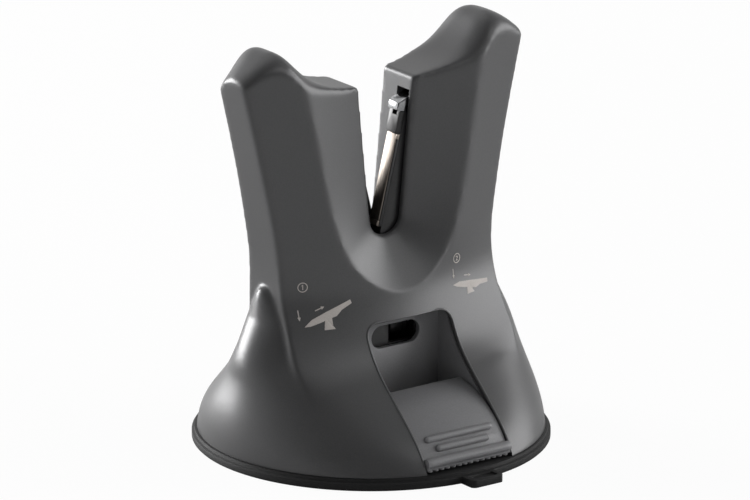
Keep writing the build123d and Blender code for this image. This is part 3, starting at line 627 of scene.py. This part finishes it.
def outerBody():
    s = smoothing
    solid = bodyForm(0)
    cutWith(solid, valleyCutter(0), topCutter(0))
    addModifier(solid, "REMESH", mode="VOXEL", voxel_size=body["voxel"] * mm)
    applyModifiers(solid)
    flanks = solid.vertex_groups.new(name="flanks")
    ridges = solid.vertex_groups.new(name="ridges")
    for v in solid.data.vertices:
        x, y, z = (c / mm for c in v.co)
        flanks.add([v.index], 1, "REPLACE")
        edge = s["notchHalf"] + (z - body["notchFloor"]) * s["notchLean"]
        besideNotch = min(1, max(0, (abs(x) - edge) / s["notchOver"])) if abs(y) < s["notchDepth"] else 1
        ridges.add([v.index], besideNotch * min(1, max(0, (z - s["from"]) / s["over"])), "REPLACE")
    addModifier(solid, "SMOOTH", factor=s["factor"], iterations=s["flankSteps"], vertex_group="flanks")
    addModifier(solid, "SMOOTH", factor=s["factor"], iterations=s["ridgeSteps"], vertex_group="ridges")
    applyModifiers(solid)
    bm = bmesh.new()
    bm.from_mesh(solid.data)
    cut = bmesh.ops.bisect_plane(bm, geom=bm.verts[:] + bm.edges[:] + bm.faces[:], clear_inner=True,
                                 plane_co=(0, 0, body["footLevel"] * mm), plane_no=(0, 0, 1))
    rim = [e for e in cut["geom_cut"] if isinstance(e, bmesh.types.BMEdge)]
    bmesh.ops.contextual_create(bm, geom=rim)
    bmesh.ops.recalc_face_normals(bm, faces=bm.faces)
    bm.to_mesh(solid.data)
    bm.free()
    return solid


def innerBody():
    solid = bodyForm(body["wall"])
    cutWith(solid, valleyCutter(body["wall"]), topCutter(body["wall"]))
    addModifier(solid, "REMESH", mode="VOXEL", voxel_size=body["hollowVoxel"] * mm)
    return applyModifiers(solid)


housing = outerBody()
hollow = innerBody()
print("housing form made,", len(housing.data.polygons), "faces")


window = {
    "half": 17.8, "top": 47.5, "round": 5.0, "back": 14.25, "front": 80, "below": -1,
    "bead": 0.45, "beadSunk": 0.35, "beadLow": 6.5, "rayStart": 200,
}
slot = {"gap": 0.1, "thick": 6.8, "inner": 4.2, "reach": 30.0, "low": 62.0, "top": 121.6}


def windowOutline(count=10):
    half, top, r = window["half"], window["top"], window["round"]
    right = [(half - r + r * cos(a), top - r + r * sin(a)) for a in np.linspace(0, pi / 2, count)]
    left = [(-x, z) for x, z in reversed(right)]
    return right + left


def windowCutter():
    outline = [(window["half"], window["below"])] + windowOutline() + [(-window["half"], window["below"])]
    return tubePiece("window", [[(x, -y, z) for x, z in outline] for y in (window["back"], window["front"])])


def slotCutters():
    cutters = []
    for way in (1, -1):
        ys = sorted((-way * slot["gap"], -way * (slot["gap"] + slot["thick"])))
        xs = sorted((-way * slot["inner"], way * slot["reach"]))
        cutters.append(boxPiece("slot", (xs[0], ys[0], slot["low"]), (xs[1], ys[1], slot["top"])))
    return cutters


def windowBead(tree):
    path = []
    side = [(window["half"], z) for z in np.linspace(window["beadLow"], window["top"] - window["round"], 40)]
    whole = side + windowOutline() + [(-x, z) for x, z in reversed(side)]
    for x, z in whole:
        hit = tree.ray_cast(Vector((x, -window["rayStart"], z)) * mm, Vector((0, 1, 0)))[0]
        if hit:
            path.append(hit + Vector((0, window["bead"] * window["beadSunk"] * mm, 0)))
    curve = bpy.data.curves.new("window_bead", "CURVE")
    curve.dimensions = "3D"
    curve.bevel_depth = window["bead"] * mm
    curve.bevel_resolution = 4
    spline = curve.splines.new("NURBS")
    spline.points.add(len(path) - 1)
    for point, place in zip(spline.points, path):
        point.co = (*place, 1)
    spline.order_u = 3
    spline.use_endpoint_u = True
    temp = putInScene("bead_curve", curve)
    mesh = bpy.data.meshes.new_from_object(temp.evaluated_get(bpy.context.evaluated_depsgraph_get()))
    bpy.data.objects.remove(temp)
    return putInScene("window_bead", mesh)


# the printed marks: a circled numeral and a knife on a stand with two arrows, on each side of the window
marks = {
    "left": {"knife": (-38.5, 49.1), "tilt": 18.3, "size": 1.0, "standRise": 2.9,
             "numeral": (-37.2, 62.2), "digit": "1"},
    "right": {"knife": (21.1, 53.7), "tilt": -9.8, "size": 0.94, "standRise": 0,
              "numeral": (24.0, 62.3), "digit": "2"},
    "ring": (1.7, 1.42), "ringSteps": 24, "arrowDown": (0.2, 4.0), "arrowAlong": (7.6, 3.2),
    "height": 0.05, "film": 0.12, "step": 0.7, "rounds": 6,
}
# outlines in millimetres along the knife and up from its tip
knifeShape = [(0, 0), (3.5, 1.1), (9, 1.35), (9, 0.2), (9, -1.0), (6, -0.95), (2, -0.6)]
gripShape = [(9, 1.35), (18.6, 1.5), (18.6, 0.2), (12.6, -0.5), (11.8, -1.3), (9, -1.0)]
standShape = [(7.6, -0.6), (9.9, -0.6), (9.7, -3.6), (10.4, -4.4), (6.5, -4.4), (7.4, -3.5)]
arrowShaft = [(-1.7, 0.16), (0.7, 0.16), (0.7, -0.16), (-1.7, -0.16)]
arrowHead = [(0.6, 0.55), (1.8, 0), (0.6, -0.55)]
digitShapes = {
    "1": [[(-0.12, -0.85), (0.16, -0.85), (0.16, 0.9), (-0.05, 0.9), (-0.12, 0.6)],
          [(-0.5, 0.45), (-0.12, 0.6), (-0.05, 0.9)]],
    "2": [[(-0.5, -0.8), (0.5, -0.8), (0.5, -0.55), (-0.15, -0.55)],
          [(-0.5, -0.8), (-0.15, -0.55), (0.5, 0.2), (0.5, 0.45), (0.2, 0.2)],
          [(0.2, 0.2), (0.5, 0.45), (0.25, 0.8), (0.1, 0.55)],
          [(0.1, 0.55), (0.25, 0.8), (-0.25, 0.8), (-0.15, 0.55)],
          [(-0.15, 0.55), (-0.25, 0.8), (-0.5, 0.5), (-0.3, 0.4)]],
}


def turned(shape, degrees, at, size=1.0):
    c, s = cos(radians(degrees)) * size, sin(radians(degrees)) * size
    return [(at[0] + x * c - y * s, at[1] + x * s + y * c) for x, y in shape]


def markShapes(mark):
    place, tilt, size = mark["knife"], mark["tilt"], mark["size"]
    shapes = [turned(shape, tilt, place, size) for shape in (knifeShape, gripShape)]
    shapes.append(turned([(x, y + mark["standRise"]) for x, y in standShape], 0, place, size))
    for spot, way in ((marks["arrowDown"], -90), (marks["arrowAlong"], tilt)):
        at = turned([spot], tilt, place, size)[0]
        shapes += [turned(shape, way, at, size) for shape in (arrowShaft, arrowHead)]
    x, z = mark["numeral"]
    outer, inner = marks["ring"]
    for i in range(marks["ringSteps"]):
        a, b = (2 * pi * (i + t) / marks["ringSteps"] for t in (0, 1))
        corners = ((outer, a), (outer, b), (inner, b), (inner, a))
        shapes.append([(x + r * cos(t), z + r * sin(t)) for r, t in corners])
    return shapes + [turned(shape, 0, (x, z)) for shape in digitShapes[mark["digit"]]]


def printedMark(name, mark, tree):
    bm = bmesh.new()
    for shape in markShapes(mark):
        bm.faces.new([bm.verts.new((x * mm, 0, z * mm)) for x, z in shape])
    bmesh.ops.triangulate(bm, faces=bm.faces)
    for _ in range(marks["rounds"]):
        long = [e for e in bm.edges if e.calc_length() > marks["step"] * mm]
        if long:
            bmesh.ops.subdivide_edges(bm, edges=long, cuts=1)
            bmesh.ops.triangulate(bm, faces=bm.faces)
    for v in bm.verts:
        hit = tree.ray_cast(Vector((v.co.x, -window["rayStart"] * mm, v.co.z)), Vector((0, 1, 0)))
        v.co = hit[0] + hit[1] * marks["height"] * mm
    mesh = bpy.data.meshes.new(name)
    bm.to_mesh(mesh)
    bm.free()
    piece = putInScene(name, mesh)
    addModifier(piece, "SOLIDIFY", thickness=marks["film"] * mm, offset=0)
    return smoothShade(applyModifiers(piece), 40)


skin = BVHTree.FromObject(housing, bpy.context.evaluated_depsgraph_get())
bead = windowBead(skin)
for side in ("left", "right"):
    printed = printedMark("printed_mark_" + side, marks[side], skin)
    printed.data.materials.append(ink)
    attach(printed, "body")
cutWith(housing, hollow)
cutWith(housing, windowCutter(), *slotCutters())
housing.name = "housing_shell"
smoothShade(housing, 50)
smoothShade(bead, 60)
for piece in (housing, bead):
    finish(piece, "body_plastic")
    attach(piece, "body")
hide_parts("housing")
print("housing shell cut,", len(housing.data.polygons), "faces")


# --- every other piece keeps its CAD form, with its edges broken as a mould or a tumbler leaves them

edgeWidths = {
    "lever": 0.3, "lever_well": 0.4, "arm_cradle": 0.4, "base_plate": 0.4, "stem_bush": 0.25,
    "cam_plate": 0.15, "pull_stem": 0.2, "lift_yoke": 0.35, "stem_nut": 0.2,
    "lever_pin": 0.2, "lever_washers": 0.12,
    "cradle_screws": 0.15, "base_screws": 0.15, "well_screws": 0.15, "pin_clips": 0.12,
    "arm_carrier_right": 0.3, "arm_carrier_left": 0.3, "hub_bush_right": 0.15, "hub_bush_left": 0.15,
    "pin_spacer_right": 0.15, "pin_spacer_left": 0.15, "pivot_pin_right": 0.1, "pivot_pin_left": 0.1,
}
slotOf = {part["node"]: part["material_slot"] for part in frame["record"]["subparts"]}


def softMesh(node, width):
    source = nodes[node]
    mesh = source.data.copy()
    mesh.transform(source.matrix_world)
    bm = bmesh.new()
    bm.from_mesh(mesh)
    bmesh.ops.remove_doubles(bm, verts=bm.verts, dist=0.002 * mm)
    bmesh.ops.dissolve_limit(bm, angle_limit=radians(0.6), verts=bm.verts, edges=bm.edges)
    bmesh.ops.recalc_face_normals(bm, faces=bm.faces)
    bm.to_mesh(mesh)
    bm.free()
    copy = putInScene(node + "_soft", mesh)
    addModifier(copy, "BEVEL", width=width * mm, segments=2, limit_method="ANGLE", angle_limit=radians(32),
                use_clamp_overlap=True)
    applyModifiers(copy)
    return smoothShade(copy, 32)


def softCopy(node, width):
    return settle(softMesh(node, width), node)


def settle(piece, node, replace=True):
    finish(piece, slotOf[node])
    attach(piece, body_of(nodes[node])[0])
    if replace:
        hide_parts(node)
    return piece


for node, width in edgeWidths.items():
    softPiece = softCopy(node, width)
    # the lever and its well take the lighter grey, which paints in the light falling on them
    if node in ("lever_well", "lever"):
        softPiece.data.materials[0] = paintedLightGrey
print("edges broken on", len(edgeWidths), "pieces")


# --- cup: the rim stays with the body, the boss goes with the stem, and eight wedges of membrane stretch between

cup = {
    "edge": 0.55, "boss": 19.0, "rim": 49.0, "wedges": 8, "cutReach": 80, "cutLow": -5, "cutHigh": 20,
}


def discPiece(radius, turns=96):
    angles = np.linspace(0, 2 * pi, turns, endpoint=False)
    levels = (cup["cutLow"], cup["cutHigh"])
    return tubePiece("disc", [[(radius * cos(a), radius * sin(a), z) for a in angles] for z in levels])


def keptWith(obj, cutter, operation):
    copy = putInScene(obj.name, obj.data.copy())
    addModifier(copy, "BOOLEAN", object=cutter, operation=operation, solver="EXACT")
    return smoothShade(applyModifiers(copy), 32)


def cupPieces():
    whole = softMesh("suction_cup", cup["edge"])
    inner, outer = discPiece(cup["boss"]), discPiece(cup["rim"])
    rim, boss = keptWith(whole, outer, "DIFFERENCE"), keptWith(whole, inner, "INTERSECT")
    middle = keptWith(whole, outer, "INTERSECT")
    sheet = keptWith(middle, inner, "DIFFERENCE")
    half = pi / cup["wedges"]
    wedges = []
    for i in range(cup["wedges"]):
        facing = 2 * half * i
        far = cup["cutReach"]
        corners = [(0, 0)] + [(far * cos(facing + s), far * sin(facing + s)) for s in (-half, half)]
        cutter = tubePiece("wedge", [[(x, y, z) for x, y in corners] for z in (cup["cutLow"], cup["cutHigh"])])
        wedge = keptWith(sheet, cutter, "INTERSECT")
        wedge.name = "cup_membrane_" + str(i + 1)
        wedges.append((wedge, Vector((cos(facing), sin(facing), 0))))
        bpy.data.objects.remove(cutter)
    for obj in (whole, inner, outer, middle, sheet):
        bpy.data.objects.remove(obj)
    rim.name, boss.name = "cup_rim", "cup_boss"
    finish(rim, "cup_rubber")
    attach(rim, "body")
    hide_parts("suction_cup")
    finish(boss, "cup_rubber")
    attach(boss, "stem")
    for wedge, way in wedges:
        finish(wedge, "cup_rubber")
        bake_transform(wedge, "body", "stem", start=tuple(way * cup["rim"] * cos(half) * mm),
                 end=tuple(way * cup["boss"] * cos(half) * mm))


cupPieces()
print("cup made")


# --- lever: its two finger bars and its rolled lip end in balls, and the lip has a fluted apron

leverTrim = {
    # ahead, level, half length, radius
    "bars": [(49.3, 13.6, 12.6, 1.25), (51.9, 10.9, 9.8, 1.25), (55.0, 7.4, 15.6, 1.75)],
    "flutes": 14, "fluteRadius": 1.1, "fluteHalf": 15.6, "fluteAhead": 54.6, "fluteLow": 4.5, "fluteHigh": 7.2,
    "poleGap": 0.06,  # radians left open at a ball's pole, so that its last ring has a size
}


def ballEnded(ahead, level, half, r, turns=24):
    places = [(-half - r * cos(a), r * sin(a)) for a in np.linspace(leverTrim["poleGap"], pi / 2, 9)]
    places += [(-x, w) for x, w in reversed(places)]
    angles = np.linspace(0, 2 * pi, turns, endpoint=False)
    return tubePiece("bar", [[(x, -ahead + w * cos(t), level + w * sin(t)) for t in angles] for x, w in places])


def leverDetails():
    t = leverTrim
    parts = [ballEnded(*bar) for bar in t["bars"]]
    angles = np.linspace(0, 2 * pi, 16, endpoint=False)
    r, ahead, levels = t["fluteRadius"], t["fluteAhead"], (t["fluteLow"], t["fluteHigh"])
    for x in np.linspace(-t["fluteHalf"], t["fluteHalf"], t["flutes"]):
        rings = [[(x + r * cos(a), -ahead + r * sin(a), z) for a in angles] for z in levels]
        parts.append(tubePiece("flute", rings))
    trim = settle(smoothShade(joined("lever_bars", *parts), 40), "lever", replace=False)
    # the lever's bars take the same lighter grey, with its painted light
    trim.data.materials[0] = paintedLightGrey


leverDetails()
print("lever details made")


# --- arms: strip, foot clip, holder and cap of the right arm, and the same turned half round for the left

arm = {
    "lean": 14.4, "footAcross": -1.9, "footLevel": 75.7, "near": 0.7, "far": 6.3, "middle": 3.5,
    "stripWidth": 5.0, "stripThick": 0.55, "stripStart": 2.25, "stripEnd": 32.0, "ear": 0.55,
    "holderEnd": 40.3, "holderProud": 0.7, "top": 41.9, "round": 0.18, "back": 1.6,
    "pocketHigh": 1.9, "pocketDeep": 0.6, "pocketNear": 3.9, "pocketFar": 1.3,
}
# up from the arm's top, and out
capProfile = [(-2.2, 5.0), (-2.2, -0.4), (-1.8, -1.75), (0.8, -1.95), (3.4, 1.6), (4.7, 5.0)]
clipProfile = [(0, 1.6), (0, 0), (0.3, -0.3), (2.0, -0.3), (2.0, 1.6)]
facetCorner = [(-3, -2), (-3, 1.5), (0.2, -2)]  # out, and in from the cap's side


def armPoint(along, out, ahead):
    lean = radians(arm["lean"])
    return (arm["footAcross"] + along * sin(lean) + out * cos(lean), -ahead,
            arm["footLevel"] + along * cos(lean) - out * sin(lean))


def armBlock(name, outline, near, far, width):
    piece = tubePiece(name, [[armPoint(a, o, y) for a, o in outline] for y in (near, far)])
    addModifier(piece, "BEVEL", width=width * mm, segments=2, limit_method="ANGLE", angle_limit=radians(25))
    return smoothShade(applyModifiers(piece), 32)


def stripPiece():
    a = arm
    half, back, side = a["stripWidth"] / 2, a["back"], a["middle"] + a["stripWidth"] / 2
    start, end, thick, earLow = a["stripStart"], a["stripEnd"], a["stripThick"], a["stripEnd"] - 1.7
    flat = [(start, 0), (end, 0), (end, thick), (start, thick)]
    strip = armBlock("strip", flat, a["middle"] - half, side, 0.1)
    ear = armBlock("ear", [(earLow, 0), (end, 0), (end, 1.2), (earLow, 1.2)], side, side + a["ear"], 0.1)
    under = [(0.1, thick), (end, thick), (end, back), (0.1, back)]
    return strip, ear, armBlock("seat", under, a["near"] + 0.05, a["far"] - 0.05, 0.12)


def clipPiece():
    half = arm["stripWidth"] / 2
    return armBlock("clip", clipProfile, arm["middle"] - half, arm["middle"] + half, 0.15)


def holderPiece():
    a = arm
    low, high, proud, back = a["stripEnd"] + 0.3, a["holderEnd"], -a["holderProud"], a["back"]
    outline = [(low, back), (low, proud), (high, proud), (high, 0.8), (a["top"], 0.8), (a["top"], back)]
    block = armBlock("holder", outline, a["near"], a["far"], a["round"])
    foot, out, deep = high - a["pocketHigh"], -3, a["pocketDeep"]
    hole = [(foot, out), (high + 0.1, out), (high + 0.1, deep), (foot, deep)]
    pocket = tubePiece("pocket", [[armPoint(s, o, y) for s, o in hole]
                                  for y in (a["far"] - a["pocketNear"], a["far"] - a["pocketFar"])])
    return cutWith(block, pocket)


def capPiece():  # a slanted roof, and a bright facet on each side of the front, as cast
    a = arm
    rings = [[armPoint(a["top"] + s, o, y) for s, o in capProfile] for y in (a["near"], a["far"])]
    cap, facets = tubePiece("cap", rings), []
    for y, way in ((a["near"], 1), (a["far"], -1)):
        rings = [[armPoint(s, o, y + way * t) for o, t in facetCorner] for s in (-9, 60)]
        facets.append(tubePiece("facet", rings))
    cutWith(cap, *facets)
    addModifier(cap, "BEVEL", width=0.14 * mm, segments=2, limit_method="ANGLE", angle_limit=radians(25))
    return smoothShade(applyModifiers(cap), 28)


def halfTurned(piece, name):
    mesh = piece.data.copy()
    mesh.transform(Matrix.Rotation(pi, 4, "Z"))
    return putInScene(name, mesh)


def armDetails():
    strip, ear, seat = stripPiece()
    made = {"sharpening_strip": joined("sharpening_strip", strip, ear), "strip_seat": seat,
            "foot_clip": clipPiece(), "strip_holder": holderPiece(), "guide_cap": capPiece()}
    for name, piece in made.items():
        node = name if name != "strip_seat" else "arm_carrier"
        left = halfTurned(piece, name + "_shape_left")
        piece.name = name + "_shape_right"
        for side, obj in (("right", piece), ("left", left)):
            smoothShade(obj, 30)
            settle(obj, node + "_" + side, replace=name != "strip_seat")


armDetails()
print("arm details made")


# --- springs: a coil for each arm, riding with that arm's spring

spring = {
    "radius": 2.2, "wire": 0.35, "turns": 6, "start": -9.05, "end": 3.15, "ahead": 3.5, "level": 39.0,
    "anchor": -9.4, "keep": 0.64, "steps": 18, "sides": 10,
}


def coilPiece(name):
    s = spring
    rings, count = [], s["turns"] * s["steps"]
    for i in range(count + 1):
        t = 2 * pi * i / s["steps"]
        x = s["start"] + (s["end"] - s["start"]) * i / count
        ring = []
        for a in np.linspace(0, 2 * pi, s["sides"], endpoint=False):
            r = s["radius"] + s["wire"] * cos(a)
            ring.append((x + s["wire"] * sin(a), -s["ahead"] + r * cos(t), s["level"] + r * sin(t)))
        rings.append(ring)
    return smoothShade(tubePiece(name, rings), 40)


coil = coilPiece("arm_coil_right")
for side, way, obj in (("right", 1, coil), ("left", -1, halfTurned(coil, "arm_coil_left"))):
    settle(smoothShade(obj, 40), "arm_spring_" + side)
    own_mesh(obj)
print("springs made")


# --- room: pale floor that stays white to the camera, soft boxes low on both sides, a dim front

room = {
    "floorHalf": 6, "paper": "#f4f4f4", "paperGlow": 0.95, "skyDiffuse": 0.22,
    "skyFront": 0.12, "skyBack": 0.9, "frontEdge": -0.6, "backEdge": 0.8,
}


def makeFloor():
    s = room["floorHalf"]
    floor = meshPiece("floor", [(-s, -s, 0), (s, -s, 0), (s, s, 0), (-s, s, 0)], [(0, 1, 2, 3)], 1)
    # matt white paper: keeps the shadow, and is bright to the camera
    material, tree, shader = newMaterial("matt_white_paper")
    shader.inputs["Base Color"].default_value = hexToLinear(room["paper"])
    shader.inputs["Roughness"].default_value = 0.9
    glow = addNode(tree, "ShaderNodeEmission", Color=hexToLinear("#ffffff"), Strength=1.0)
    path = addNode(tree, "ShaderNodeLightPath")
    share = addNode(tree, "ShaderNodeMath", {0: path.outputs["Is Camera Ray"]}, operation="MULTIPLY")
    share.inputs[1].default_value = room["paperGlow"]
    mix = addNode(tree, "ShaderNodeMixShader", {0: share.outputs[0], 1: shader.outputs[0], 2: glow.outputs[0]})
    tree.links.new(mix.outputs[0], tree.nodes["Material Output"].inputs["Surface"])
    floor.data.materials.append(material)


# name: place, aim, size in metres, watts
lamps = {
    "left_box": ((-0.72, 1.54, 0.2), (0, 0, 0.08), (1.0, 1.1), 56),
    "right_box": ((1.48, -0.75, 0.3), (0, 0, 0.08), (1.6, 1.3), 27),
    "front_box": ((0.5, -1.2, 1.2), (0, 0, 0.03), (0.7, 0.7), 2),
    "top_box": ((0.1, 0.6, 1.8), (0, 0, 0.08), (1.2, 1.2), 2.5),
}


def areaLight(name, place, aim, size, watts):
    data = bpy.data.lights.new(name, "AREA")
    data.shape = "RECTANGLE"
    data.size, data.size_y = size
    data.energy = watts
    obj = putInScene(name, data)
    obj.location = place
    obj.rotation_euler = (Vector(place) - Vector(aim)).to_track_quat("Z", "Y").to_euler()


makeFloor()
for name, settings in lamps.items():
    areaLight(name, *settings)

world = bpy.data.worlds.new("studio")
bpy.context.scene.world = world
world.use_nodes = True
sky = world.node_tree
background = sky.nodes["Background"]
background.inputs["Color"].default_value = (1, 1, 1, 1)
rays = addNode(sky, "ShaderNodeLightPath")
facing = addNode(sky, "ShaderNodeTexCoord")
split = addNode(sky, "ShaderNodeSeparateXYZ", {"Vector": facing.outputs["Generated"]})
glossSky = addNode(sky, "ShaderNodeMapRange", {"Value": split.outputs["Y"]},
                   **{"From Min": room["frontEdge"], "From Max": room["backEdge"],
                      "To Min": room["skyFront"], "To Max": room["skyBack"]})
glossy, passing = rays.outputs["Is Glossy Ray"], rays.outputs["Is Transmission Ray"]
seenRays = addNode(sky, "ShaderNodeMath", {0: glossy, 1: passing}, operation="MAXIMUM")
forGloss = addNode(sky, "ShaderNodeMix", {"Factor": seenRays.outputs[0], 3: glossSky.outputs[0]},
                   data_type="FLOAT")
forGloss.inputs[2].default_value = room["skyDiffuse"]
forCamera = addNode(sky, "ShaderNodeMix", {"Factor": rays.outputs["Is Camera Ray"], 2: forGloss.outputs[0]},
                    data_type="FLOAT")
forCamera.inputs[3].default_value = 1.0
sky.links.new(forCamera.outputs[0], background.inputs["Strength"])
print("room and lamps made")

bpy.context.scene.view_settings.view_transform = "Standard"

print("scene ready")
